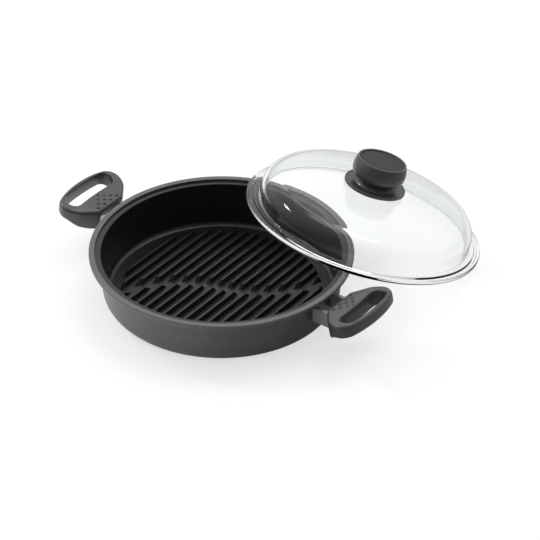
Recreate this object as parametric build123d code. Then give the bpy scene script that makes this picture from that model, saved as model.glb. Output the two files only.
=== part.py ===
from build123d import *
from math import cos, hypot, pi, radians, sin, sqrt, tan
import os

# Cast aluminium steam grill pan with two moulded loop handles and a domed glass lid.
# Millimetres. Origin at the centre of the base, +Z up, handles along X, ribs along Y.
# The lid leans on the rim with its low edge on the table, as it does in use.

# Pan casting
PAN_H = 60.0            # rim top above the table
RIM_R = 147.0           # outer edge of the rim
RIM_W = 6.8             # rim's width outside the recess that takes the lid's flange
SEAT_DEPTH = 2.8        # rim top down to the lid's ledge
WALL_T = 3.4            # wall thickness, measured level
WALL_INSET = 15.4       # rim's outer edge in to the outer wall run on down to the table
WALL_DRAFT = 5.4        # degrees the wall leans out
BASE_EDGE_R = 15.0      # round between base and wall
FLOOR_T = 4.0           # floor thickness between the ribs
FLOOR_EDGE_R = 6.0      # round between floor and wall inside
RIM_FACE_H = 4.6        # height of the rim's outer face
RIM_ROUND = 1.5         # round on the rim's upper edges
SKIRT_INSET = 8.0       # rim's outer edge in to where its slanted underside meets the wall
SKIRT_DROP = 8.6        # rim top down to that place
SKIRT_EASE = 4.0        # height over which the wall runs out into the underside
SKIRT_ROUND = 2.0

# Grill ribs and the S-shaped steam channel that parts them
RIB_LINES = 18          # rib lines across the floor
RIB_PITCH = 12.1
RIB_H = 6.0
RIB_TOP_W = 2.8
RIB_FOOT_W = 4.8
RIB_EDGE_R = 0.7        # round along each rib's top edges
RIB_FIELD_R = 109.3     # circle that the rib tops stop on
RIB_END_RUN = 3.8       # how far each rib end slopes out at its foot
RIB_ROOT = 1.0          # how far the ribs start inside the floor to fuse with it
CHANNEL_BEND_R = 123.0  # centreline radius of both bends
CHANNEL_START = 14.0    # degrees between the channel and X at the pan's centre
CHANNEL_SWEEP = 62.0    # degrees each bend runs on for
CHANNEL_FLOOR_W = 8.6   # channel width on the floor
CHANNEL_TOP_W = 16.8    # channel width at the rib tops

# Handle carriers cast on the wall
ARM_OUT_Y = 18.6        # outer face of each carrier arm
ARM_T = 4.0
ARM_LOW_Z = 31.0
ARM_TOP_Z = 47.6        # arm top at the wall
ARM_RISE = 4.0          # degrees the arm tops climb outwards
TONGUE_LEN = 7.0        # how far the tongue reaches into the handle
TONGUE_LOW_Z = 37.5
TONGUE_TOP_Z = 46.5
TONGUE_LAP = 0.5        # tongue into the arms' ends, to fuse with them

# Loop handles, in a frame that climbs outwards from the neck's top edge
HANDLE_OUT = 10.0       # rim's outer edge to the neck face
HANDLE_Z = 55.4         # neck top above the table
HANDLE_TILT = 13.0      # degrees the handle climbs
HANDLE_REACH = 53.0     # neck face to the outside of the loop
HANDLE_BOW = 1.6        # how far the outer bar bows out
HANDLE_W = 96.0
LOOP_CORNER_R = 19.0    # outer corners of the loop
SHOULDER_R = 17.0       # where the neck's sides meet the loop
NECK_CORNER_R = 3.5
NECK_W = 42.0
NECK_SPREAD = 22.0      # length over which the neck widens to the loop
NECK_DEPTH = 27.5       # neck thickness
LOOP_DEPTH = 15.5       # loop thickness
NECK_CURVE_START = 5.0  # neck face to where the underside starts to curve up
NECK_CURVE_END = 19.0   # where it has curved up to the loop
LOOP_TIP_RISE = 0.8     # how much thinner the loop is at its outer end
HANDLE_EDGE_R = 3.4     # top edge rounding
HANDLE_UNDER_R = 2.0    # underside edge rounding
LOOP_GAP_START = 22.0   # neck face to the finger opening
LOOP_GAP_LEN = 24.5
LOOP_GAP_W = 73.0
LOOP_GAP_R = 10.5
LOOP_GAP_EDGE_R = 2.8   # top edge rounding of the opening
PIMPLE_ROWS = 4         # grip pimples stand in a triangle of rows
PIMPLE_PITCH_Y = 10.9
PIMPLE_PITCH_S = 4.9
PIMPLE_START = 7.0      # neck face to the first row
PIMPLE_R = 1.75         # radius of the largest pimples
PIMPLE_SHRINK = 0.2     # how much each row is smaller than the last
PIMPLE_H = 0.9

# Handle screws
SCREW_D = 5.0
SCREW_HEAD_D = 9.0
SCREW_HEAD_H = 3.0
SCREW_SOCKET_D = 3.6
SCREW_SOCKET_DEEP = 1.8
SCREW_SHORT = 1.0       # screw's end below the tongue's top
WASHER_D = 10.0
WASHER_T = 1.0
SCREW_INSET = 4.0       # screw axis outside the neck face
SEAT_WEB = 3.8          # handle wall between the washer and the tongue

# Glass lid, in its own frame with the flange's underside at zero
LID_PLAY = 2.2          # flange in the pan's recess, on each side
LID_FLANGE_W = 13.4     # flange's outer edge in to the dome's foot
LID_FLANGE_T = 3.6
LID_BEAD_W = 3.2        # thicker bead around the flange's edge
LID_BEAD_T = 5.0
LID_BEAD_RUN = 1.2      # level run of the bead's inner slope
LID_EDGE_R = 1.4        # round on the bead's edges
LID_STEP_W = 5.4        # raised step between flange and dome
LID_STEP_H = 1.6
LID_STEP_RUN = 1.6      # level run of the step's slope
LID_STEP_ROUND = 0.8
LID_WALL_DRAFT = 3.0
LID_GLASS_T = 3.8
LID_H = 47.0            # crown above the flange's underside
LID_CROWN_R = 400.0
LID_SHOULDER_R = 22.0
LID_FOOT_ROUND = 2.5    # inside round between flange and dome
LID_HOLE_D = 8.0

# Lid knob, measured up from the crown
KNOB_BASE_R = 35.4
KNOB_BASE_T = 3.0
KNOB_LIP_W = 1.8        # raised lip around the base's edge
KNOB_LIP_H = 0.6
KNOB_FOOT_R = 24.5      # foot of the cone on the base
KNOB_FOOT_H = 1.6       # upright foot below the cone
KNOB_FOOT_EDGE = 1.2    # how far the foot's top edge is in from its bottom
KNOB_SMALL_R = 0.8      # round on the knob's small edges
KNOB_CONE_R = 4.0       # round where the cone meets the neck
KNOB_NECK_R = 16.5
KNOB_CONE_TOP = 11.0    # where the cone has narrowed to the neck
KNOB_NECK_H = 17.0
KNOB_R = 30.6           # widest part of the grip
KNOB_LOW_R = 25.0       # lower edge of the grip
KNOB_GRIP_LOW = 10.5    # crown to the grip's lower edge
KNOB_WIDE_DROP = 9.5    # grip's rim down to its widest part
KNOB_LOW_LIP = 1.0      # height of the grip's lower edge above its underside
KNOB_HOLLOW = 3.5       # height of the slope under the grip, from its edge to the neck
KNOB_RIM_W = 2.6        # rim around the cap
KNOB_H = 34.0           # crown to the grip's rim
KNOB_CAP_R = 25.6
KNOB_CAP_T = 2.0
KNOB_CAP_SINK = 1.0     # cap face below the grip's rim
KNOB_CAP_BEVEL = 0.4
INSERT_D = 9.0
INSERT_L = 11.0
INSERT_END_T = 1.0      # closed end of the insert
SEAL_D = 22.0
SEAL_T = 1.2
KNOB_WASHER_D = 18.0
KNOB_WASHER_T = 1.2
KNOB_SCREW_ROUND = 1.2  # round on the knob screw's head
SLOT_W = 1.2            # slot in that head
SLOT_DEEP = 1.2

# Clearances
FIT = 0.15              # pocket around a tongue, cap in its recess
HOLE_PLAY = 0.2         # screw in its hole, on each side
THREAD_PLAY = 0.05      # screw in its thread and insert in its bore, on each side
SEAT_PLAY = 0.3         # washer in its counterbore, on each side
FACE_GAP = 0.1          # stacked pieces that are screwed together
LEAN_GAP = 0.3          # lid to rim and lid to table
LEAN_OUT = 32.5         # lid's centre beyond the rim's outer edge, measured level
LEAN_WAY = 63.5         # degrees from +X towards which the lid leans

SEAT_R = RIM_R - RIM_W
WALL_FOOT_R = RIM_R - WALL_INSET
SKIRT_R = RIM_R - SKIRT_INSET
RIB_TOP_Z = FLOOR_T + RIB_H
ARM_IN_X = WALL_FOOT_R - WALL_T / 2
HANDLE_X = RIM_R + HANDLE_OUT
LID_R = SEAT_R - LID_PLAY
LID_WALL_R = LID_R - LID_FLANGE_W
LID_STEP_R = LID_WALL_R + LID_STEP_W
LEAN_REACH = RIM_R + LEAN_OUT


def outer_wall_r(z):
    return WALL_FOOT_R + z * tan(radians(WALL_DRAFT))


def inner_wall_r(z):
    return outer_wall_r(z) - WALL_T


def revolved(face):
    return revolve(face, Axis.Z)


def rounded_section(points, rounds):
    # A half section in the XZ plane with chosen corners rounded.
    with BuildSketch(Plane.XZ) as section:
        with BuildLine():
            Polyline(*points, close=True)
        make_face()
        for (x, z), radius in rounds:
            fillet(section.vertices().sort_by_distance((x, z, 0))[0], radius)
    return section.sketch


def pan_shell():
    seat_z = PAN_H - SEAT_DEPTH
    face_low = PAN_H - RIM_FACE_H
    skirt_z = PAN_H - SKIRT_DROP
    wall_z = skirt_z - SKIRT_EASE
    points = [(0, 0), (outer_wall_r(0), 0), (outer_wall_r(wall_z), wall_z), (SKIRT_R, skirt_z),
              (RIM_R, face_low), (RIM_R, PAN_H), (SEAT_R, PAN_H), (SEAT_R, seat_z),
              (inner_wall_r(seat_z), seat_z), (inner_wall_r(FLOOR_T), FLOOR_T), (0, FLOOR_T)]
    rounds = [(points[1], BASE_EDGE_R), (points[2], SKIRT_ROUND), (points[4], RIM_ROUND),
              (points[5], RIM_ROUND), (points[6], RIM_ROUND), (points[8], RIM_ROUND),
              (points[9], FLOOR_EDGE_R)]
    return revolved(rounded_section(points, rounds))


def channel_face(width, z):
    # Two equal bends that meet at the pan's centre, as a band of even width.
    start = radians(CHANNEL_START)
    sweep = radians(CHANNEL_SWEEP)
    half = width / 2

    def on_bend(radius, angle, side):
        x = CHANNEL_BEND_R * -sin(start) + radius * sin(angle)
        y = CHANNEL_BEND_R * cos(start) - radius * cos(angle)
        return (side * x, side * y)

    inside, outside = CHANNEL_BEND_R - half, CHANNEL_BEND_R + half
    mid, end = start + sweep / 2, start + sweep
    with BuildSketch(Plane.XY.offset(z)) as face:
        with BuildLine():
            a = ThreePointArc(*[on_bend(inside, t, 1) for t in (start, mid, end)])
            b = Line(a @ 1, on_bend(outside, end, 1))
            c = ThreePointArc(*[on_bend(outside, t, 1) for t in (end, mid, start)])
            d = ThreePointArc(*[on_bend(inside, t, -1) for t in (start, mid, end)])
            e = Line(d @ 1, on_bend(outside, end, -1))
            ThreePointArc(*[on_bend(outside, t, -1) for t in (end, mid, start)])
        make_face()
    return face.sketch


def grill_ribs():
    # All rib lines at full length, trimmed to a round field and parted by the channel.
    root = FLOOR_T - RIB_ROOT
    with BuildSketch(Plane.XZ) as rows:
        for i in range(RIB_LINES):
            x = (i - (RIB_LINES - 1) / 2) * RIB_PITCH
            foot, top = RIB_FOOT_W / 2, RIB_TOP_W / 2
            with BuildLine():
                Polyline((x - foot, root), (x - foot, FLOOR_T), (x - top, RIB_TOP_Z),
                         (x + top, RIB_TOP_Z), (x + foot, FLOOR_T), (x + foot, root), close=True)
            make_face()
        crests = [v for v in rows.vertices() if v.Y > RIB_TOP_Z - 0.01]
        fillet(crests, RIB_EDGE_R)
    bars = extrude(rows.sketch, RIB_FIELD_R + RIB_END_RUN, both=True)
    slope = RIB_END_RUN / RIB_H
    field = Solid.make_cone(RIB_FIELD_R + slope * (RIB_TOP_Z - root), RIB_FIELD_R,
                            RIB_TOP_Z - root, Plane.XY.offset(root))
    over = RIB_TOP_Z + RIB_ROOT
    widen = (CHANNEL_TOP_W - CHANNEL_FLOOR_W) / RIB_H
    channel = loft([channel_face(CHANNEL_FLOOR_W, FLOOR_T),
                    channel_face(CHANNEL_FLOOR_W + widen * (over - FLOOR_T), over)], ruled=True)
    return (bars & field) - channel


def handle_plane():
    climb = radians(HANDLE_TILT)
    return Plane(origin=(HANDLE_X, 0, HANDLE_Z), x_dir=(cos(climb), 0, sin(climb)),
                 z_dir=(-sin(climb), 0, cos(climb)))


def neck_half_space(gap):
    # Everything on the handle's side of the neck face, moved out by a gap.
    block = Box(HANDLE_REACH, HANDLE_W, 2 * PAN_H, align=(Align.MIN, Align.CENTER, Align.CENTER))
    return handle_plane() * Pos(gap, 0, 0) * block


def neck_face_x(z):
    return HANDLE_X + (HANDLE_Z - z) * tan(radians(HANDLE_TILT))


def tongue(grow):
    low, top = TONGUE_LOW_Z - grow, TONGUE_TOP_Z + grow
    x_start = neck_face_x(top) - 2.0
    x_end = neck_face_x((TONGUE_LOW_Z + TONGUE_TOP_Z) / 2) + TONGUE_LEN + grow
    width = 2 * (ARM_OUT_Y + grow)
    box = Box(x_end - x_start, width, top - low, align=(Align.MIN, Align.CENTER, Align.MIN))
    return Pos(x_start, 0, low) * box


def carrier():
    # Two flat arms off the wall, joined inside the handle's neck by a tongue.
    climb = tan(radians(ARM_RISE))
    x_far = neck_face_x(ARM_LOW_Z) + 2.0
    with BuildSketch(Plane.XZ) as side:
        with BuildLine():
            Polyline((ARM_IN_X, ARM_LOW_Z), (x_far, ARM_LOW_Z),
                     (x_far, ARM_TOP_Z + climb * (x_far - ARM_IN_X)), (ARM_IN_X, ARM_TOP_Z),
                     close=True)
        make_face()
    arm = extrude(side.sketch, ARM_T)
    arms = [Pos(0, ARM_OUT_Y, 0) * arm, Pos(0, ARM_T - ARM_OUT_Y, 0) * arm]
    arms = (arms[0] + arms[1]) - neck_half_space(-FACE_GAP)
    inner = tongue(0) & neck_half_space(-FACE_GAP - TONGUE_LAP)
    inner -= screw_bore(SCREW_D + 2 * THREAD_PLAY)
    return arms + inner


def screw_x():
    return neck_face_x(TONGUE_LOW_Z) + SCREW_INSET


def washer_seat_z():
    # Flat seat for the screw's washer, cut up into the neck's underside.
    return TONGUE_LOW_Z - FIT - SEAT_WEB


def screw_bore(diameter):
    up = (Align.CENTER, Align.CENTER, Align.MIN)
    return Pos(screw_x(), 0, 0) * Cylinder(diameter / 2, TONGUE_TOP_Z, align=up)


def both_sides(shape):
    return shape + Rot(0, 0, 180) * shape


def pan_body():
    cavity = revolved(rounded_section(
        [(0, FLOOR_T + 0.5), (inner_wall_r(FLOOR_T) - 0.2, FLOOR_T + 0.5),
         (inner_wall_r(PAN_H) - 0.2, PAN_H), (0, PAN_H)], []))
    body = pan_shell() + (both_sides(carrier()) - cavity)
    return body + grill_ribs()


def handle_outline():
    half = HANDLE_W / 2
    with BuildSketch() as outline:
        with BuildLine():
            bow = ThreePointArc((HANDLE_REACH - HANDLE_BOW, -half), (HANDLE_REACH, 0),
                                (HANDLE_REACH - HANDLE_BOW, half))
            Polyline(bow @ 1, (NECK_SPREAD, half), (0, NECK_W / 2), (0, -NECK_W / 2),
                     (NECK_SPREAD, -half), bow @ 0)
        make_face()
        far = outline.vertices().group_by(Axis.X)[-1]
        fillet(far, LOOP_CORNER_R)
        wide = [v for v in outline.vertices() if abs(v.X - NECK_SPREAD) < 0.1]
        fillet(wide, SHOULDER_R)
        near = outline.vertices().group_by(Axis.X)[0]
        fillet(near, NECK_CORNER_R)
    return outline.sketch


def finger_opening():
    mid = LOOP_GAP_START + LOOP_GAP_LEN / 2
    return Pos(mid, 0, 0) * RectangleRounded(LOOP_GAP_LEN, LOOP_GAP_W, LOOP_GAP_R)


def underside_cut():
    # Clears the space below a thick neck that curves up into a thinner loop.
    low = -NECK_DEPTH - 1.0
    with BuildSketch(Plane.XZ) as side:
        with BuildLine():
            start = (NECK_CURVE_START, -NECK_DEPTH)
            curve = Spline(start, (NECK_CURVE_END, -LOOP_DEPTH),
                           tangents=[(1.0, 0.15), (1.0, 0.06)])
            Polyline(curve @ 1, (HANDLE_REACH, LOOP_TIP_RISE - LOOP_DEPTH), (HANDLE_REACH, low),
                     (0, low), (0, -NECK_DEPTH), start)
        make_face()
    return extrude(side.sketch, HANDLE_W, both=True)


def pimples():
    group = []
    for row in range(PIMPLE_ROWS):
        count = PIMPLE_ROWS - row
        radius = PIMPLE_R - PIMPLE_SHRINK * row
        for k in range(count):
            y = (k - (count - 1) / 2) * PIMPLE_PITCH_Y
            dome = Pos(PIMPLE_START + row * PIMPLE_PITCH_S, y, PIMPLE_H - radius) * Sphere(radius)
            group.append(dome)
    return group


def handle():
    plate = extrude(handle_outline(), -NECK_DEPTH)
    plate = fillet(plate.faces().sort_by(Axis.Z)[-1].edges(), HANDLE_EDGE_R)
    plate -= extrude(finger_opening(), -NECK_DEPTH)
    top_ring = plate.faces().sort_by(Axis.Z)[-1].inner_wires()[0].edges()
    plate = fillet(top_ring, LOOP_GAP_EDGE_R)
    plate -= underside_cut()
    below = plate.faces().filter_by(lambda f: f.center().Z < -LOOP_DEPTH + 1.5 and f.center().X > 25)
    plate = fillet(below.sort_by(SortBy.AREA)[-1].edges(), HANDLE_UNDER_R)
    for dome in pimples():
        plate += dome
    body = handle_plane() * plate
    body -= tongue(FIT)
    body -= screw_bore(SCREW_D + 2 * HOLE_PLAY)
    seat = Cylinder(WASHER_D / 2 + SEAT_PLAY, NECK_DEPTH, align=(Align.CENTER, Align.CENTER, Align.MAX))
    body -= Pos(screw_x(), 0, washer_seat_z()) * seat
    return body


def handle_washer():
    z = washer_seat_z() - FACE_GAP
    return Pos(screw_x(), 0, z - WASHER_T) * ring(WASHER_D, SCREW_D + 2 * HOLE_PLAY, WASHER_T)


def handle_screw():
    head_z = washer_seat_z() - WASHER_T - 2 * FACE_GAP
    shank_top = TONGUE_TOP_Z - SCREW_SHORT
    shank = Cylinder(SCREW_D / 2, shank_top - head_z, align=(Align.CENTER, Align.CENTER, Align.MIN))
    head = Cylinder(SCREW_HEAD_D / 2, SCREW_HEAD_H, align=(Align.CENTER, Align.CENTER, Align.MAX))
    socket = extrude(RegularPolygon(SCREW_SOCKET_D / 2, 6), SCREW_SOCKET_DEEP)
    screw = shank + head - Pos(0, 0, -SCREW_HEAD_H) * socket
    return Pos(screw_x(), 0, head_z) * screw


def dome_section(wall_r, shoulder_r, crown_z, crown_r):
    # Half section of a solid dome: steep wall, round shoulder, shallow crown.
    drift = tan(radians(LID_WALL_DRAFT))
    edge_x = wall_r
    drop = 0.0
    for _ in range(20):
        drop = crown_r - sqrt(crown_r ** 2 - edge_x ** 2)
        edge_x = wall_r - drift * (crown_z - drop)
    with BuildSketch(Plane.XZ) as section:
        with BuildLine():
            half = edge_x / 2
            sag = crown_r - sqrt(crown_r ** 2 - half ** 2)
            crown = ThreePointArc((0, crown_z), (half, crown_z - sag), (edge_x, crown_z - drop))
            Polyline(crown @ 1, (wall_r, 0), (0, 0), (0, crown_z))
        make_face()
        fillet(section.vertices().sort_by_distance((edge_x, crown_z - drop, 0))[0], shoulder_r)
    return section.sketch


def lid_foot_r():
    return LID_WALL_R - LID_GLASS_T + LID_FOOT_ROUND


def lid_glass():
    dome = revolved(dome_section(LID_WALL_R, LID_SHOULDER_R, LID_H, LID_CROWN_R))
    hollow = revolved(dome_section(LID_WALL_R - LID_GLASS_T, LID_SHOULDER_R - LID_GLASS_T,
                                   LID_H - LID_GLASS_T, LID_CROWN_R - LID_GLASS_T))
    bead_in = LID_R - LID_BEAD_W
    step_top = LID_FLANGE_T + LID_STEP_H
    points = [(LID_WALL_R - LID_GLASS_T, 0), (LID_R, 0), (LID_R, LID_BEAD_T), (bead_in, LID_BEAD_T),
              (bead_in - LID_BEAD_RUN, LID_FLANGE_T), (LID_STEP_R + LID_STEP_RUN, LID_FLANGE_T),
              (LID_STEP_R, step_top), (LID_WALL_R - LID_GLASS_T, step_top)]
    rounds = [(points[1], LID_EDGE_R), (points[2], LID_EDGE_R), (points[3], LID_EDGE_R),
              (points[6], LID_STEP_ROUND)]
    flange = revolved(rounded_section(points, rounds))
    ease = revolved(rounded_section([(0, 0), (lid_foot_r(), 0),
                                     (LID_WALL_R - LID_GLASS_T, LID_FOOT_ROUND),
                                     (0, LID_FOOT_ROUND)], []))
    hole = Cylinder(LID_HOLE_D / 2, LID_H + LID_GLASS_T, align=(Align.CENTER, Align.CENTER, Align.MIN))
    return dome + flange - hollow - ease - hole


def knob_base():
    plate = KNOB_BASE_T - KNOB_LIP_H
    lip_in = KNOB_BASE_R - KNOB_LIP_W
    points = [(LID_HOLE_D / 2, 0), (KNOB_BASE_R, 0), (KNOB_BASE_R, KNOB_BASE_T),
              (lip_in, KNOB_BASE_T), (lip_in - KNOB_LIP_H, plate), (KNOB_FOOT_R, plate),
              (KNOB_FOOT_R - KNOB_FOOT_EDGE, plate + KNOB_FOOT_H), (KNOB_NECK_R, KNOB_CONE_TOP),
              (KNOB_NECK_R, KNOB_NECK_H), (LID_HOLE_D / 2, KNOB_NECK_H)]
    rounds = [(points[2], KNOB_SMALL_R), (points[5], KNOB_SMALL_R), (points[6], KNOB_SMALL_R),
              (points[7], KNOB_CONE_R)]
    bottom = SEAL_T + 2 * FACE_GAP
    return Pos(0, 0, bottom) * revolved(rounded_section(points, rounds))


def knob_stack():
    return SEAL_T + 3 * FACE_GAP + KNOB_NECK_H


def knob_grip():
    low = KNOB_GRIP_LOW
    wide_z = KNOB_H - KNOB_WIDE_DROP
    neck_top = knob_stack()
    pocket_r = KNOB_NECK_R + FIT
    edge = (KNOB_LOW_R, low + KNOB_LOW_LIP)
    recess_r = KNOB_CAP_R + FIT
    recess_z = KNOB_H - KNOB_CAP_SINK - KNOB_CAP_T - FACE_GAP
    with BuildSketch(Plane.XZ) as section:
        with BuildLine():
            side = Spline(edge, (KNOB_R, wide_z), (KNOB_CAP_R + KNOB_RIM_W, KNOB_H),
                          tangents=[(1.0, 0.35), (-0.35, 1.0)])
            Polyline(side @ 1, (recess_r, KNOB_H), (recess_r, recess_z), (0, recess_z),
                     (0, neck_top), (pocket_r, neck_top), (pocket_r, low + KNOB_HOLLOW), edge)
        make_face()
        fillet(section.vertices().sort_by_distance((recess_r, KNOB_H, 0))[0], KNOB_SMALL_R)
    grip = revolved(section.sketch)
    bore = Pos(0, 0, neck_top) * Cylinder(INSERT_D / 2 + THREAD_PLAY, INSERT_L,
                                          align=(Align.CENTER, Align.CENTER, Align.MIN))
    return grip - bore


def knob_cap():
    top = KNOB_H - KNOB_CAP_SINK
    disc = Cylinder(KNOB_CAP_R, KNOB_CAP_T, align=(Align.CENTER, Align.CENTER, Align.MAX))
    disc = chamfer(disc.faces().sort_by(Axis.Z)[-1].edges(), KNOB_CAP_BEVEL)
    return Pos(0, 0, top) * disc


def knob_insert():
    # Threaded insert, open below and closed at the top, a little short of its bore.
    body = ring(INSERT_D, SCREW_D + 2 * THREAD_PLAY, INSERT_L - FACE_GAP)
    end = Pos(0, 0, INSERT_L - FACE_GAP - INSERT_END_T) * Cylinder(
        INSERT_D / 2, INSERT_END_T, align=(Align.CENTER, Align.CENTER, Align.MIN))
    return Pos(0, 0, knob_stack()) * (body + end)


def ring(outer, inner, thickness):
    align = (Align.CENTER, Align.CENTER, Align.MIN)
    return Cylinder(outer / 2, thickness, align=align) - Cylinder(inner / 2, thickness, align=align)


def under_glass():
    # Height of the crown's inner face at the edge of the lower seal.
    half = SEAL_D / 2
    inside_r = LID_CROWN_R - LID_GLASS_T
    return -LID_GLASS_T - (inside_r - sqrt(inside_r ** 2 - half ** 2)) - FACE_GAP


def seal_upper():
    return Pos(0, 0, FACE_GAP) * ring(SEAL_D, LID_HOLE_D, SEAL_T)


def seal_lower():
    return Pos(0, 0, under_glass() - SEAL_T) * ring(SEAL_D, LID_HOLE_D, SEAL_T)


def knob_washer():
    low = under_glass() - SEAL_T - FACE_GAP - KNOB_WASHER_T
    return Pos(0, 0, low) * ring(KNOB_WASHER_D, SCREW_D + 2 * HOLE_PLAY, KNOB_WASHER_T)


def knob_screw():
    head_z = under_glass() - SEAL_T - 2 * FACE_GAP - KNOB_WASHER_T
    tip = knob_stack() + INSERT_L - INSERT_END_T - SCREW_SHORT
    shank = Cylinder(SCREW_D / 2, tip - head_z, align=(Align.CENTER, Align.CENTER, Align.MIN))
    head = Cylinder(SCREW_HEAD_D / 2, SCREW_HEAD_H, align=(Align.CENTER, Align.CENTER, Align.MAX))
    head = fillet(head.faces().sort_by(Axis.Z)[0].edges(), KNOB_SCREW_ROUND)
    slot = Pos(0, 0, -SCREW_HEAD_H) * Box(SCREW_HEAD_D, SLOT_W, 2 * SLOT_DEEP)
    return Pos(0, 0, head_z) * (shank + head - slot)


def rim_gap(lean):
    # Gap between the flange's inner edge and the rim where the rim passes under it.
    height = LID_R * sin(lean) + LEAN_GAP
    rim_r = RIM_R - RIM_ROUND
    low, high = 0.0, pi / 2
    for _ in range(60):
        turn = (low + high) / 2
        across = (rim_r * cos(turn) - LEAN_REACH) * cos(lean) - (PAN_H - height) * sin(lean)
        if hypot(across, rim_r * sin(turn)) < lid_foot_r():
            low = turn
        else:
            high = turn
    above = (rim_r * cos(turn) - LEAN_REACH) * sin(lean) + (PAN_H - height) * cos(lean)
    return -above


def lean_angle():
    # The tilt at which the low edge clears the table and the flange clears the rim.
    low, high = radians(8.0), radians(24.0)
    for _ in range(60):
        lean = (low + high) / 2
        if rim_gap(lean) < LEAN_GAP:
            low = lean
        else:
            high = lean
    return lean


def lid_place():
    lean = lean_angle()
    way = radians(LEAN_WAY)
    height = LID_R * sin(lean) + LEAN_GAP
    axis = (cos(way) * sin(lean), sin(way) * sin(lean), cos(lean))
    return Plane(origin=(LEAN_REACH * cos(way), LEAN_REACH * sin(way), height),
                 x_dir=(-sin(way), cos(way), 0), z_dir=axis)


def write(name, shape):
    solids = shape.solids()
    whole = solids[0] if len(solids) == 1 else Compound(children=list(solids))
    export_step(whole, os.path.join("parts", name + ".step"))


def main():
    os.makedirs("parts", exist_ok=True)
    write("pan_body", pan_body())
    for name, turn in (("right", 0), ("left", 180)):
        write("handle_" + name, Rot(0, 0, turn) * handle())
        write("handle_washer_" + name, Rot(0, 0, turn) * handle_washer())
        write("handle_screw_" + name, Rot(0, 0, turn) * handle_screw())
    lid = lid_place()
    write("lid_glass", lid * lid_glass())
    crown = lid * Pos(0, 0, LID_H)
    for name, make in (("knob_base", knob_base), ("knob_grip", knob_grip), ("knob_cap", knob_cap),
                       ("knob_insert", knob_insert), ("knob_seal_upper", seal_upper),
                       ("knob_seal_lower", seal_lower), ("knob_washer", knob_washer),
                       ("knob_screw", knob_screw)):
        write(name, crown * make())


main()
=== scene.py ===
# Looks of the steam grill pan: coated casting, phenolic handles and knob, clear glass lid.
# Metres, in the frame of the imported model: origin at the centre of the base, +Z up.
import bmesh
import bpy
from math import atan2, cos, hypot, pi, radians, sin, sqrt, tan
from mathutils import Matrix, Vector


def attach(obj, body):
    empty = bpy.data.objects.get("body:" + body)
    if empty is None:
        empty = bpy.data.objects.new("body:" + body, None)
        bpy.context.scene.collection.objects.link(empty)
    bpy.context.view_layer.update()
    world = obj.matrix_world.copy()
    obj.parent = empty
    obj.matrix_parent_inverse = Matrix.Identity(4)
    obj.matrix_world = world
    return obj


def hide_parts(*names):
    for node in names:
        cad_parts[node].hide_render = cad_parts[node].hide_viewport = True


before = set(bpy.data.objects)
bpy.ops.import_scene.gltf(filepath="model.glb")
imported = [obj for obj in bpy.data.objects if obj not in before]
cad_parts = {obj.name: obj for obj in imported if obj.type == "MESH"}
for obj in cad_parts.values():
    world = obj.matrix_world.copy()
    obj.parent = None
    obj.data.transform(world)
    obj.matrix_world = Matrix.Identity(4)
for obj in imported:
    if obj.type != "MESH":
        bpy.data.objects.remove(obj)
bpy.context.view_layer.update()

# Camera, as the photograph was taken
CAMERA_PLACE = Vector((1.3253, -1.7386, 1.5663))
CAMERA_AIM = Vector((-0.4798, 0.6627, -0.5749))
CAMERA_ROLL = radians(0.58)
CAMERA_LENS = 159.88     # mm, with the sensor's width
SENSOR_WIDTH = 36.0

# Lamps: place, width, height and watts of each
LAMP_AIM = Vector((0.03, 0.05, 0.03))
LAMPS = {"key": (Vector((-1.7, -0.3, 1.6)), 0.5, 0.3, 9.0),
         "top": (Vector((-0.1, 0.9, 2.2)), 1.6, 1.2, 9.0)}

# Studio's bright side, and the floor
BRIGHT_BACK = 0.65
BRIGHT_LEFT = 0.76
BRIGHT_UP = 0.5
FLOOR_SIZE = 12.0
FLOOR_DROP = 0.0002      # below the pan's base, so that the two don't touch
FLOOR_WHITE = 0.36       # what it gives back of the light
FLOOR_GLOW = 0.64        # what it adds of its own where it is to look white

# Outline of the handles, in a frame that climbs outwards from the neck's top edge: along, across, up
NECK_TOP = Vector((0.157, 0.0, 0.0554))
HANDLE_TILT = radians(13.0)
NECK_HALF = 0.021
SHOULDER_ALONG = 0.019
HANDLE_HALF = 0.0465
BAR_ALONG = 0.0425       # where the outer bar's ends turn
BAR_PEAK = 0.0570        # where its two straight halves would meet
NECK_CORNER = 0.0018     # how far the round at each corner runs along its sides
SHOULDER_CORNER = 0.0120
BAR_CORNER = 0.0110
BAR_BEND = 0.0330

# Their thickness and edges
NECK_LOW = 0.0280        # neck thickness
LOOP_LOW = 0.0168        # loop thickness at the opening
TIP_LOW = 0.0150
NECK_ALONG = 0.002       # where the underside starts to rise
LOOP_ALONG = 0.029       # where it has risen to the loop
SLICES = 14
TOP_EDGE = 0.0040
LOW_EDGE = 0.0046
SHARP = radians(50.0)    # edges that turn by more are rounded
SMOOTH = radians(32.0)   # edges that turn by less are shaded as one surface

# Their finger openings
GAP_NEAR = 0.0224
GAP_FAR = 0.0432
GAP_HALF = 0.0365
GAP_NEAR_BOW = 0.0028    # how far the long sides bow outwards
GAP_FAR_BOW = 0.0040
GAP_NEAR_CORNER = 0.0104
GAP_FAR_CORNER = 0.0086
GAP_NEAR_BEND = 0.020
GAP_FAR_BEND = 0.024
GAP_TOP_EDGE = 0.0018
GAP_LOW_EDGE = 0.0010
CUTTER_TOP = 0.004
CUTTER_LOW = -0.034
CUTTER_MIDDLE = (GAP_NEAR + GAP_FAR) / 2 + 0.001
CUTTER_TAPER = (0.78, 0.94, 1.0)     # its low end against its top, along, across and up

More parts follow.
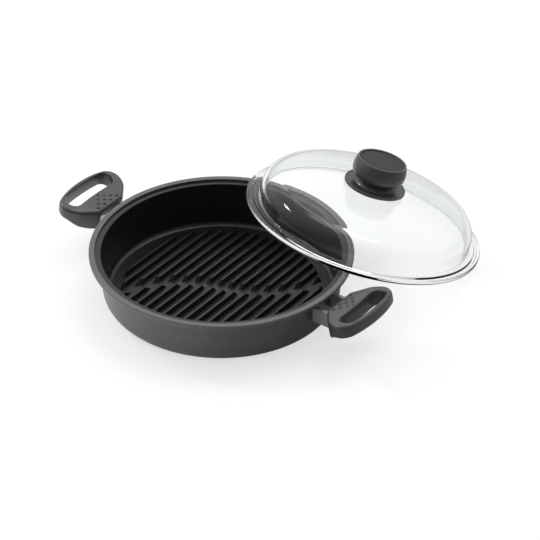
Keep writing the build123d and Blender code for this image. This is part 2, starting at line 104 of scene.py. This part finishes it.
# Their grip pimples, and the flat seat of the screw's washer
PIMPLE_ROWS = 4
PIMPLE_RADIUS = 0.0022
PIMPLE_SHRINK = 0.00015  # from row to row
PIMPLE_START = 0.0064
PIMPLE_ROW_STEP = 0.0048
PIMPLE_PITCH = 0.0109
PIMPLE_SINK = 0.0006     # centres below the handle's top
SEAT_PLACE = Vector((0.1661, 0.0, 0.03355))
SEAT_RADIUS = 0.0053
SEAT_CUT = 0.030         # from the seat down past the neck

# Lid's place
LID_WAY = radians(63.5)  # towards which the lid leans
LID_REACH = 0.1795       # its centre from the pan's centre, measured level
LID_LEAN = radians(16.37)
LID_REST = 0.0003        # its low edge above the table

# Lid glass, in its own frame with the flange's underside at zero
LID_RADIUS = 0.138
CROWN_HEIGHT = 0.047
CROWN_RADIUS = 0.560
SHOULDER_RADIUS = 0.022
DOME_FOOT = 0.1250       # outside radius of the dome's foot
DOME_DRAFT = tan(radians(3.0))
GLASS_THICK = 0.0038
HOLE_RADIUS = 0.004
STEP_RADIUS = 0.1300     # raised step round the dome's foot
STEP_HEIGHT = 0.0052
GROOVE_IN = 0.1316       # shallow groove between the step and the edge
GROOVE_OUT = 0.1336
GROOVE_HEIGHT = 0.0036
EDGE_IN = 0.1348
EDGE_HEIGHT = 0.0050
FOOT_FLARE = 0.0025      # the hollow's mouth
HALVINGS = 50
CROWN_STEPS = 24
SHOULDER_STEPS = 14
TURN_STEPS = 144
LID_SMOOTH = radians(40.0)
GLASS_CROSSINGS = 4.5    # after this many a ray goes straight on

# The pan's own sizes, which the coating follows
WALL_FOOT = 0.1316       # outer wall run on down to the table
WALL_LEAN = tan(radians(5.4))
WALL_THICK = 0.0034
LEDGE_HEIGHT = 0.0572    # the ledge that carries the lid
LEDGE_EDGE = 0.1402      # its outer edge, where the rim stands up
ARM_START = 0.1372       # where the handle carriers leave the wall
ARM_TOP = 0.0500
ARM_HALF = 0.0190
COAT_EDGE = 0.0003       # over which one coat gives way to the other


class Signal:
    """A shader socket that can be used in plain arithmetic."""

    def __init__(self, paint, socket):
        self.paint = paint
        self.socket = socket

    def math(self, operation, *others):
        return self.paint.add("ShaderNodeMath", {"operation": operation},
                              dict(enumerate((self,) + others)))

    def __add__(self, other):
        return self.math("ADD", other)

    def __sub__(self, other):
        return self.math("SUBTRACT", other)

    def __rsub__(self, other):
        return self.paint.add("ShaderNodeMath", {"operation": "SUBTRACT"}, {0: other, 1: self})

    def __mul__(self, other):
        return self.math("MULTIPLY", other)

    def __pow__(self, other):
        return self.math("POWER", other)

    def __gt__(self, other):
        return self.math("GREATER_THAN", other)

    __radd__ = __add__
    __rmul__ = __mul__

    def size(self):
        """Without its sign."""
        return self.math("ABSOLUTE")

    def clamped(self):
        """Held between 0 and 1."""
        return self.paint.add("ShaderNodeClamp", {}, {"Value": self})

    def step(self, low, high):
        """0 below low, 1 above high, smooth between."""
        settings = {"interpolation_type": "SMOOTHSTEP"}
        return self.paint.add("ShaderNodeMapRange", settings,
                              {"Value": self, "From Min": low, "From Max": high})


class Paint:
    """The node tree of one material or of the world."""

    def __init__(self, owner):
        owner.use_nodes = True
        self.tree = owner.node_tree
        self.tree.nodes.clear()

    def add(self, kind, settings, inputs, output=0):
        """Adds any node: its settings first, then the values or links of its sockets."""
        node = self.tree.nodes.new(kind)
        for name, value in settings.items():
            setattr(node, name, value)
        for name, value in inputs.items():
            socket = node.inputs[name]
            if isinstance(value, Signal):
                self.tree.links.new(value.socket, socket)
            else:
                socket.default_value = value
        return Signal(self, node.outputs[output]) if node.outputs else node

    def coordinates(self):
        return self.add("ShaderNodeTexCoord", {}, {}, "Object")

    def noise(self, vector, scale, detail=2.0, rough=0.5):
        return self.add("ShaderNodeTexNoise", {},
                        {"Vector": vector, "Scale": scale, "Detail": detail, "Roughness": rough}, "Fac")

    def split(self, vector):
        """The three numbers of a vector."""
        node = self.add("ShaderNodeSeparateXYZ", {}, {"Vector": vector}).socket.node
        return [Signal(self, node.outputs[axis]) for axis in "XYZ"]

    def blend(self, share, low, high):
        """Mixes two colours by a share."""
        node = self.add("ShaderNodeMix", {"data_type": "RGBA"}, {0: share, 6: low, 7: high})
        return Signal(self, node.socket.node.outputs[2])

    def pick(self, share, low, high):
        """Mixes two numbers by a share."""
        return self.add("ShaderNodeMix", {"data_type": "FLOAT"}, {0: share, 2: low, 3: high})

    def bump(self, height, strength, distance):
        return self.add("ShaderNodeBump", {},
                        {"Height": height, "Strength": strength, "Distance": distance}, "Normal")

    def surface(self, shader):
        self.add("ShaderNodeOutputMaterial", {}, {"Surface": shader})

    def principled(self, **values):
        """A Principled shader; an underscore in a name stands for the space in its socket's."""
        names = {name.replace("_", " "): value for name, value in values.items()}
        return self.add("ShaderNodeBsdfPrincipled", {}, names)

    def rays(self, *kinds):
        """1 for each named kind of ray."""
        path = self.add("ShaderNodeLightPath", {}, {}).socket.node
        return [Signal(self, path.outputs["Is " + kind + " Ray"]) for kind in kinds]


def new_material(name):
    material = bpy.data.materials.new(name)
    return material, Paint(material)


def grey(value, tint=(1.0, 1.0, 1.0)):
    return (value * tint[0], value * tint[1], value * tint[2], 1.0)


def coated_casting():
    """Anthracite coat with metal flakes outside, near black non-stick coat inside, bare metal arms."""
    material, paint = new_material("coated_casting")
    place = paint.coordinates()
    x, y, z = paint.split(place)
    radius = (x * x + y * y) ** 0.5
    # The coats meet inside the wall's thickness, and above it at the ledge's outer edge.
    wall_middle = z * WALL_LEAN + (WALL_FOOT - WALL_THICK / 2)
    beyond_wall = (radius - wall_middle).step(-COAT_EDGE, COAT_EDGE)
    beyond_ledge = radius.step(LEDGE_EDGE - 0.0002, LEDGE_EDGE + COAT_EDGE)
    under_ledge = 1.0 - z.step(LEDGE_HEIGHT - 0.006, LEDGE_HEIGHT - 0.005)
    outside = paint.pick(under_ledge, beyond_ledge, beyond_wall)
    below_rim = 1.0 - z.step(ARM_TOP - 0.0005, ARM_TOP + 0.0005)
    within_arms = 1.0 - y.size().step(ARM_HALF - 0.0002, ARM_HALF)
    arm = x.size().step(ARM_START, ARM_START + 0.0006) * below_rim * within_arms
    flakes = paint.noise(place, 2600.0, 1.0)
    cloud = paint.noise(place, 55.0, 4.0)
    peel = paint.noise(place, 900.0, 2.0)
    inner = paint.blend(cloud, grey(0.006, (0.86, 0.93, 1.2)), grey(0.010, (0.88, 0.95, 1.15)))
    outer = paint.blend((flakes * 1.6 - 0.3).clamped(), grey(0.075), grey(0.20, (1.0, 0.99, 0.97)))
    metal = paint.blend(peel, grey(0.42), grey(0.55))
    colour = paint.blend(arm, paint.blend(outside, inner, outer), metal)
    roughness = outside * 0.10 + (cloud * 0.08 + 0.25)
    bump = paint.bump(peel * 0.5 + flakes * 0.5, 0.20, 0.0005)
    metallic = paint.pick(arm, outside * 0.55, 0.9)
    paint.surface(paint.principled(Base_Color=colour, Metallic=metallic, Roughness=roughness, Normal=bump))
    return material


def phenolic():
    """Dark moulding of the handles and the knob, with a fine grain under a thin gloss."""
    material, paint = new_material("phenolic")
    place = paint.coordinates()
    grain = paint.noise(place, 1500.0, 3.0, 0.6)
    cloud = paint.noise(place, 40.0, 3.0)
    colour = paint.blend(cloud, grey(0.040), grey(0.052, (1.0, 1.0, 1.02)))
    bump = paint.bump(grain, 0.22, 0.0003)
    paint.surface(paint.principled(Base_Color=colour, Roughness=cloud * 0.08 + 0.36, Normal=bump,
                                   Coat_Weight=0.35, Coat_Roughness=0.14))
    return material


def cap_plastic():
    """Dull disc in the knob's top."""
    material, paint = new_material("cap_plastic")
    place = paint.coordinates()
    grain = paint.noise(place, 2200.0, 2.0)
    colour = paint.blend(grain, grey(0.018), grey(0.026))
    bump = paint.bump(grain, 0.15, 0.0002)
    paint.surface(paint.principled(Base_Color=colour, Roughness=grain * 0.06 + 0.44,
                                   Specular_IOR_Level=0.32, Normal=bump))
    return material


def clear_glass():
    """Clear to look through; lamps shine through it, so that it throws only a faint shadow."""
    material, paint = new_material("lid_glass")
    place = paint.coordinates()
    ripple = paint.noise(place, 28.0, 1.0)
    bump = paint.bump(ripple, 0.04, 0.001)
    glass = paint.principled(Base_Color=(0.955, 0.965, 0.97, 1.0), Roughness=0.0, IOR=1.47,
                             Transmission_Weight=1.0, Specular_Tint=grey(0.55), Normal=bump)
    clear = paint.add("ShaderNodeBsdfTransparent", {}, {"Color": (0.93, 0.955, 0.955, 1.0)})
    # A ray that has crossed the glass many times leaves it straight, so the edge doesn't go black.
    lamp_ray, = paint.rays("Shadow")
    crossings = paint.add("ShaderNodeLightPath", {}, {}, "Transmission Depth")
    straight = (lamp_ray + (crossings > GLASS_CROSSINGS)).clamped()
    paint.surface(paint.add("ShaderNodeMixShader", {}, {0: straight, 1: glass, 2: clear}))
    return material


def plain_steel():
    """Screws and washers."""
    material, paint = new_material("steel")
    place = paint.coordinates()
    marks = paint.noise(place, 700.0, 3.0)
    colour = paint.blend(marks, grey(0.50), grey(0.62))
    paint.surface(paint.principled(Base_Color=colour, Metallic=1.0, Roughness=marks * 0.15 + 0.25))
    return material


def turned_brass():
    """Threaded insert in the knob."""
    material, paint = new_material("brass")
    place = paint.coordinates()
    marks = paint.noise(place, 900.0, 2.0)
    colour = paint.blend(marks, (0.62, 0.45, 0.20, 1.0), (0.76, 0.58, 0.30, 1.0))
    paint.surface(paint.principled(Base_Color=colour, Metallic=1.0, Roughness=marks * 0.12 + 0.25))
    return material


def silicone():
    """Rings on both faces of the glass."""
    material, paint = new_material("silicone")
    place = paint.coordinates()
    dust = paint.noise(place, 300.0, 3.0)
    colour = paint.blend(dust, grey(0.07), grey(0.09))
    paint.surface(paint.principled(Base_Color=colour, Roughness=dust * 0.1 + 0.6))
    return material


def dress(material, *nodes):
    """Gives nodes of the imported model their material."""
    for name in nodes:
        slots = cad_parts[name].data.materials
        slots.clear()
        slots.append(material)


def single_out(piece):
    """Makes a piece the only one selected."""
    bpy.ops.object.select_all(action="DESELECT")
    piece.select_set(True)
    bpy.context.view_layer.objects.active = piece


def take(piece):
    """Opens a piece for editing, alone."""
    single_out(piece)
    bpy.ops.object.mode_set(mode="EDIT")


def leave():
    bpy.ops.object.mode_set(mode="OBJECT")


def choose(piece, kind, wanted):
    """Selects the edges or the vertices of the open piece that pass a test."""
    bpy.ops.mesh.select_mode(type=kind)
    bpy.ops.mesh.select_all(action="DESELECT")
    shape = bmesh.from_edit_mesh(piece.data)
    for part in shape.edges if kind == "EDGE" else shape.verts:
        part.select = wanted(part)
    shape.select_flush_mode()
    bmesh.update_edit_mesh(piece.data)


def prism(name, corners, top, bottom):
    """An upright block on an outline of corners."""
    bpy.ops.object.select_all(action="DESELECT")
    bpy.ops.mesh.primitive_circle_add(vertices=len(corners), fill_type="NGON")
    block = bpy.context.object
    block.name = name
    for vertex, (along, across) in zip(block.data.vertices, corners):
        vertex.co = (along, across, top)
    take(block)
    bpy.ops.mesh.select_all(action="SELECT")
    bpy.ops.mesh.extrude_region_move(TRANSFORM_OT_translate={"value": (0.0, 0.0, bottom - top)})
    bpy.ops.mesh.select_all(action="SELECT")
    bpy.ops.mesh.normals_make_consistent(inside=False)
    leave()
    return block


def round_corner(block, corner, reach, segments=10):
    """Rounds the upright edge at a corner; reach is how far the round runs along each side."""

    def at_corner(edge):
        return all(hypot(end.co.x - corner[0], end.co.y - corner[1]) < 0.0001 for end in edge.verts)

    take(block)
    choose(block, "EDGE", at_corner)
    bpy.ops.mesh.bevel(offset=reach, offset_type="OFFSET", segments=segments, affect="EDGES")
    leave()


def round_rim(piece, height, radius, segments=5):
    """Rounds the sharp edges that run around a flat face at a height."""

    def on_rim(edge):
        level = all(abs(end.co.z - height) < 0.00001 for end in edge.verts)
        return level and edge.calc_face_angle(0.0) > SHARP

    take(piece)
    choose(piece, "EDGE", on_rim)
    bpy.ops.mesh.bevel(offset=radius, offset_type="OFFSET", segments=segments, affect="EDGES")
    leave()


def carve(piece, other, operation="DIFFERENCE"):
    """Takes another piece out of a piece, or with UNION adds it; the other one is used up."""
    bpy.context.view_layer.objects.active = piece
    modifier = piece.modifiers.new("carve", "BOOLEAN")
    modifier.operation = operation
    modifier.object = other
    modifier.solver = "EXACT"
    bpy.ops.object.modifier_apply(modifier=modifier.name)
    bpy.data.objects.remove(other)


def both_ways(corner):
    return [corner, (corner[0], -corner[1])]


def neck_and_loop():
    """The handle's block, as thick as the neck all over, with its corners and outer edges rounded."""
    neck = (0.0, NECK_HALF)
    shoulder = (SHOULDER_ALONG, HANDLE_HALF)
    bar_end = (BAR_ALONG, HANDLE_HALF)
    peak = (BAR_PEAK, 0.0)
    one_side = [(along, -across) for along, across in (neck, shoulder, bar_end)]
    body = prism("handle", one_side + [peak, bar_end, shoulder, neck], 0.0, -NECK_LOW)
    for corner in both_ways(neck):
        round_corner(body, corner, NECK_CORNER, 4)
    for corner in both_ways(shoulder):
        round_corner(body, corner, SHOULDER_CORNER)
    for corner in both_ways(bar_end):
        round_corner(body, corner, BAR_CORNER)
    round_corner(body, peak, BAR_BEND, 14)
    round_rim(body, 0.0, TOP_EDGE)
    round_rim(body, -NECK_LOW, LOW_EDGE)
    return body


def finger_opening():
    """Cutter for the finger opening: its long sides bow outwards, and it narrows downwards."""
    near = (GAP_NEAR, GAP_HALF)
    far = (GAP_FAR, GAP_HALF)
    near_peak = (GAP_NEAR + GAP_NEAR_BOW, 0.0)
    far_peak = (GAP_FAR + GAP_FAR_BOW, 0.0)
    corners = [(GAP_NEAR, -GAP_HALF), (GAP_FAR, -GAP_HALF), far_peak, far, near, near_peak]
    cutter = prism("opening", corners, CUTTER_TOP, CUTTER_LOW)
    for corner in both_ways(near):
        round_corner(cutter, corner, GAP_NEAR_CORNER)
    for corner in both_ways(far):
        round_corner(cutter, corner, GAP_FAR_CORNER)
    round_corner(cutter, near_peak, GAP_NEAR_BEND)
    round_corner(cutter, far_peak, GAP_FAR_BEND)
    take(cutter)
    choose(cutter, "VERT", lambda vertex: vertex.co.z < 0.0)
    bpy.ops.transform.resize(value=CUTTER_TAPER, center_override=(CUTTER_MIDDLE, 0.0, CUTTER_LOW))
    leave()
    return cutter


def depth_at(along):
    """Thickness of the handle: the neck thins into the loop on one curve, and the loop to its tip."""
    if along > LOOP_ALONG:
        share = (along - LOOP_ALONG) / (BAR_PEAK - LOOP_ALONG)
        return LOOP_LOW + (TIP_LOW - LOOP_LOW) * share
    share = min(max((along - NECK_ALONG) / (LOOP_ALONG - NECK_ALONG), 0.0), 1.0)
    return NECK_LOW + (LOOP_LOW - NECK_LOW) * share * share * (3 - 2 * share)


def lift_underside(body):
    """Cuts the handle into slices across and lifts the underside of each to its depth."""
    take(body)
    for slice_number in range(1, SLICES):
        bpy.ops.mesh.select_all(action="SELECT")
        along = BAR_ALONG * slice_number / SLICES
        bpy.ops.mesh.bisect(plane_co=(along, 0.0, 0.0), plane_no=(1.0, 0.0, 0.0))
    leave()
    for vertex in body.data.vertices:
        if vertex.co.z < -NECK_LOW / 2:
            vertex.co.z += NECK_LOW - depth_at(vertex.co.x)


def pimples():
    """Grip pimples in a triangle of rows on the neck, as one piece."""
    group = []
    for row in range(PIMPLE_ROWS):
        count = PIMPLE_ROWS - row
        along = PIMPLE_START + row * PIMPLE_ROW_STEP
        for place in range(count):
            across = (place - (count - 1) / 2) * PIMPLE_PITCH
            bpy.ops.object.select_all(action="DESELECT")
            bpy.ops.mesh.primitive_uv_sphere_add(segments=16, ring_count=10,
                                                 radius=PIMPLE_RADIUS - PIMPLE_SHRINK * row,
                                                 location=(along, across, -PIMPLE_SINK))
            bpy.ops.object.transform_apply(location=True, rotation=True, scale=True)
            group.append(bpy.context.object)
    for dot in group:
        dot.select_set(True)
    bpy.ops.object.join()
    return bpy.context.object


def seat_cutter():
    """Upright cylinder that clears the neck below the seat of the screw's washer."""
    bpy.ops.object.select_all(action="DESELECT")
    bpy.ops.mesh.primitive_cylinder_add(vertices=40, radius=SEAT_RADIUS, depth=SEAT_CUT,
                                        location=SEAT_PLACE - Vector((0.0, 0.0, SEAT_CUT / 2)))
    bpy.ops.object.transform_apply(location=True, rotation=True, scale=True)
    return bpy.context.object


def handle(side, turn, material):
    """One loop handle, made on the right and turned to its own side."""
    body = neck_and_loop()
    carve(body, finger_opening())
    round_rim(body, 0.0, GAP_TOP_EDGE, 4)
    round_rim(body, -NECK_LOW, GAP_LOW_EDGE, 3)
    lift_underside(body)
    carve(body, pimples(), "UNION")
    body.data.transform(Matrix.Translation(NECK_TOP) @ Matrix.Rotation(-HANDLE_TILT, 4, "Y"))
    carve(body, seat_cutter())
    body.data.transform(Matrix.Rotation(turn, 4, "Z"))
    single_out(body)
    bpy.ops.object.shade_smooth_by_angle(angle=SMOOTH)
    body.name = "handle_moulding_" + side
    body.data.materials.clear()
    body.data.materials.append(material)
    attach(body, "pan")
    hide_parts("handle_" + side)


def dome(foot, shoulder, crown, crown_radius):
    """Half section from the crown's hole down to the dome's foot: crown, round shoulder, steep wall."""
    # The shoulder's centre is moved up or down along the wall until its round meets the crown.
    low, high = 0.0, crown
    for _ in range(HALVINGS):
        middle = (low + high) / 2
        centre = foot - DOME_DRAFT * middle - shoulder * sqrt(1 + DOME_DRAFT ** 2)
        if hypot(centre, middle - crown + crown_radius) < crown_radius - shoulder:
            low = middle
        else:
            high = middle
    start = atan2(middle - crown + crown_radius, centre)
    edge = crown_radius * cos(start)
    points = []
    for k in range(CROWN_STEPS + 1):
        r = HOLE_RADIUS + (edge - HOLE_RADIUS) * k / CROWN_STEPS
        points.append((r, crown - crown_radius + sqrt(crown_radius ** 2 - r * r)))
    for k in range(1, SHOULDER_STEPS + 1):
        turn = start * (1 - k / SHOULDER_STEPS)
        points.append((centre + shoulder * cos(turn), middle + shoulder * sin(turn)))
    return points


def rounded(corners, steps=5):
    """An open line through corners, each given with the radius of its round."""
    line = []
    for k, (x, y, radius) in enumerate(corners):
        if radius == 0.0:
            line.append((x, y))
            continue
        here = Vector((x, y))
        back = (Vector(corners[k - 1][:2]) - here).normalized()
        on = (Vector(corners[k + 1][:2]) - here).normalized()
        half = back.angle(on) / 2
        centre = here + (back + on).normalized() * radius / sin(half)
        first = here + back * radius / tan(half) - centre
        last = here + on * radius / tan(half) - centre
        for step in range(steps + 1):
            share = step / steps
            line.append(tuple(centre + first.slerp(last, share).normalized() * radius))
    return line


def lid_section():
    """Closed half section of the lid glass: outside of the dome, flange, inside of the dome."""
    outside = dome(DOME_FOOT, SHOULDER_RADIUS, CROWN_HEIGHT, CROWN_RADIUS)
    hollow_foot = DOME_FOOT - GLASS_THICK
    inside = dome(hollow_foot, SHOULDER_RADIUS - GLASS_THICK, CROWN_HEIGHT - GLASS_THICK,
                  CROWN_RADIUS - GLASS_THICK)
    flange = rounded([outside[-1] + (0.0,),
                      (DOME_FOOT - STEP_HEIGHT * DOME_DRAFT, STEP_HEIGHT, 0.0012),
                      (STEP_RADIUS, STEP_HEIGHT, 0.0008),
                      (GROOVE_IN, GROOVE_HEIGHT, 0.0006),
                      (GROOVE_OUT, GROOVE_HEIGHT, 0.0006),
                      (EDGE_IN, EDGE_HEIGHT, 0.0009),
                      (LID_RADIUS, EDGE_HEIGHT, 0.0014),
                      (LID_RADIUS, 0.0, 0.0014),
                      (hollow_foot + FOOT_FLARE, 0.0, 0.0020),
                      (hollow_foot, FOOT_FLARE, 0.0)])
    return outside[:-1] + flange + inside[::-1]


def lid_dome(material):
    """The lid glass, spun from its section and leant on the pan's rim."""
    section = lid_section()
    bpy.ops.object.select_all(action="DESELECT")
    bpy.ops.mesh.primitive_circle_add(vertices=len(section), fill_type="NOTHING")
    glass = bpy.context.object
    glass.name = "lid_dome_glass"
    for vertex, (r, z) in zip(glass.data.vertices, section):
        vertex.co = (r, 0.0, z)
    take(glass)
    bpy.ops.mesh.select_all(action="SELECT")
    bpy.ops.mesh.spin(steps=TURN_STEPS, angle=2 * pi, center=(0.0, 0.0, 0.0), axis=(0.0, 0.0, 1.0))
    bpy.ops.mesh.select_all(action="SELECT")
    bpy.ops.mesh.remove_doubles(threshold=0.00002)
    bpy.ops.mesh.normals_make_consistent(inside=False)
    leave()
    bpy.ops.object.shade_smooth_by_angle(angle=LID_SMOOTH)
    axis = Vector((cos(LID_WAY) * sin(LID_LEAN), sin(LID_WAY) * sin(LID_LEAN), cos(LID_LEAN)))
    side = Vector((-sin(LID_WAY), cos(LID_WAY), 0.0))
    place = Matrix((side, axis.cross(side), axis)).transposed().to_4x4()
    place.translation = (LID_REACH * cos(LID_WAY), LID_REACH * sin(LID_WAY),
                         LID_RADIUS * sin(LID_LEAN) + LID_REST)
    glass.data.transform(place)
    glass.data.materials.append(material)
    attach(glass, "lid")
    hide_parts("lid_glass")


def camera():
    data = bpy.data.cameras.new("camera")
    data.sensor_width = SENSOR_WIDTH
    data.lens = CAMERA_LENS
    data.clip_start = 0.05
    data.clip_end = 60.0
    forward = CAMERA_AIM.normalized()
    level = forward.cross(Vector((0, 0, 1))).normalized()
    upright = level.cross(forward)
    right = level * cos(CAMERA_ROLL) + upright * sin(CAMERA_ROLL)
    up = upright * cos(CAMERA_ROLL) - level * sin(CAMERA_ROLL)
    place = Matrix((right, up, -forward)).transposed().to_4x4()
    place.translation = CAMERA_PLACE
    eye = bpy.data.objects.new("camera", data)
    bpy.context.scene.collection.objects.link(eye)
    eye.matrix_world = place
    bpy.context.scene.camera = eye


def studio():
    """White cyclorama, bright behind and on the left, darker in front and on the right."""
    world = bpy.data.worlds.new("studio")
    bpy.context.scene.world = world
    paint = Paint(world)
    way = paint.add("ShaderNodeTexCoord", {}, {}, "Generated")
    x, y, z = paint.split(way)
    camera_ray, glossy_ray, through_ray = paint.rays("Camera", "Glossy", "Transmission")
    side = (y * BRIGHT_BACK - x * BRIGHT_LEFT + z * BRIGHT_UP).step(-0.5, 0.75)
    horizon = z.step(0.0, 0.35) * 0.6 + 0.4
    soft = side * 0.7 + 0.45
    mirrored = (side * 0.85 + 0.15) * horizon
    level = paint.pick(through_ray, paint.pick(glossy_ray, soft, mirrored), mirrored * 0.55 + 0.42)
    level = paint.pick(camera_ray, level, 1.0)
    light = paint.add("ShaderNodeBackground", {}, {"Color": (1, 1, 1, 1), "Strength": level})
    paint.add("ShaderNodeOutputWorld", {}, {"Surface": light})


def softbox(name, place, width, height, power):
    data = bpy.data.lights.new(name, "AREA")
    data.shape = "ELLIPSE"
    data.size = width
    data.size_y = height
    data.energy = power
    lamp = bpy.data.objects.new(name, data)
    bpy.context.scene.collection.objects.link(lamp)
    lamp.location = place
    lamp.rotation_euler = (LAMP_AIM - place).to_track_quat("-Z", "Y").to_euler()


def floor():
    """White to the camera. Its glow, seen mirrored in metal and through glass, is painted light: metal and
    glass see it darken far away, and metal also to the right, a painted reflection of a studio lit from
    the left.
    """
    bpy.ops.object.select_all(action="DESELECT")
    bpy.ops.mesh.primitive_plane_add(size=FLOOR_SIZE, location=(0.0, 0.0, -FLOOR_DROP))
    plane = bpy.context.object
    plane.name = "floor"
    material, paint = new_material("white_sweep")
    x, y, _ = paint.split(paint.coordinates())
    camera_ray, glossy_ray, through_ray = paint.rays("Camera", "Glossy", "Transmission")
    # Painted reflection: metal sees the floor glow bright on the left and dark on the right, fading far
    # away.
    leftward = (x * -0.81 - y * 0.586).step(-0.10, 0.22)
    near = 1.0 - (x * x + y * y).step(0.20, 1.0)
    mirrored = (leftward * 1.3 + 0.05) * near
    # Painted light: seen through the glass, the floor's glow fades far away.
    through = near * 0.9 + 0.1
    glow = camera_ray + (1.0 - camera_ray) * paint.pick(through_ray, glossy_ray * mirrored, through)
    white = paint.add("ShaderNodeBsdfDiffuse", {}, {"Color": grey(FLOOR_WHITE)})
    light = paint.add("ShaderNodeEmission", {}, {"Color": (1, 1, 1, 1), "Strength": glow * FLOOR_GLOW})
    paint.surface(paint.add("ShaderNodeAddShader", {}, {0: white, 1: light}))
    plane.data.materials.append(material)


dress(coated_casting(), "pan_body")
moulding = phenolic()
dress(moulding, "handle_left", "handle_right", "knob_base", "knob_grip")
dress(cap_plastic(), "knob_cap")
glass_finish = clear_glass()
dress(glass_finish, "lid_glass")
dress(plain_steel(), "handle_washer_left", "handle_washer_right", "handle_screw_left",
      "handle_screw_right", "knob_washer", "knob_screw")
dress(turned_brass(), "knob_insert")
dress(silicone(), "knob_seal_upper", "knob_seal_lower")

handle("right", 0.0, moulding)
handle("left", pi, moulding)
lid_dome(glass_finish)
camera()
studio()
floor()
for lamp_name, values in LAMPS.items():
    softbox(lamp_name, *values)

scene = bpy.context.scene
scene.view_settings.view_transform = "Standard"
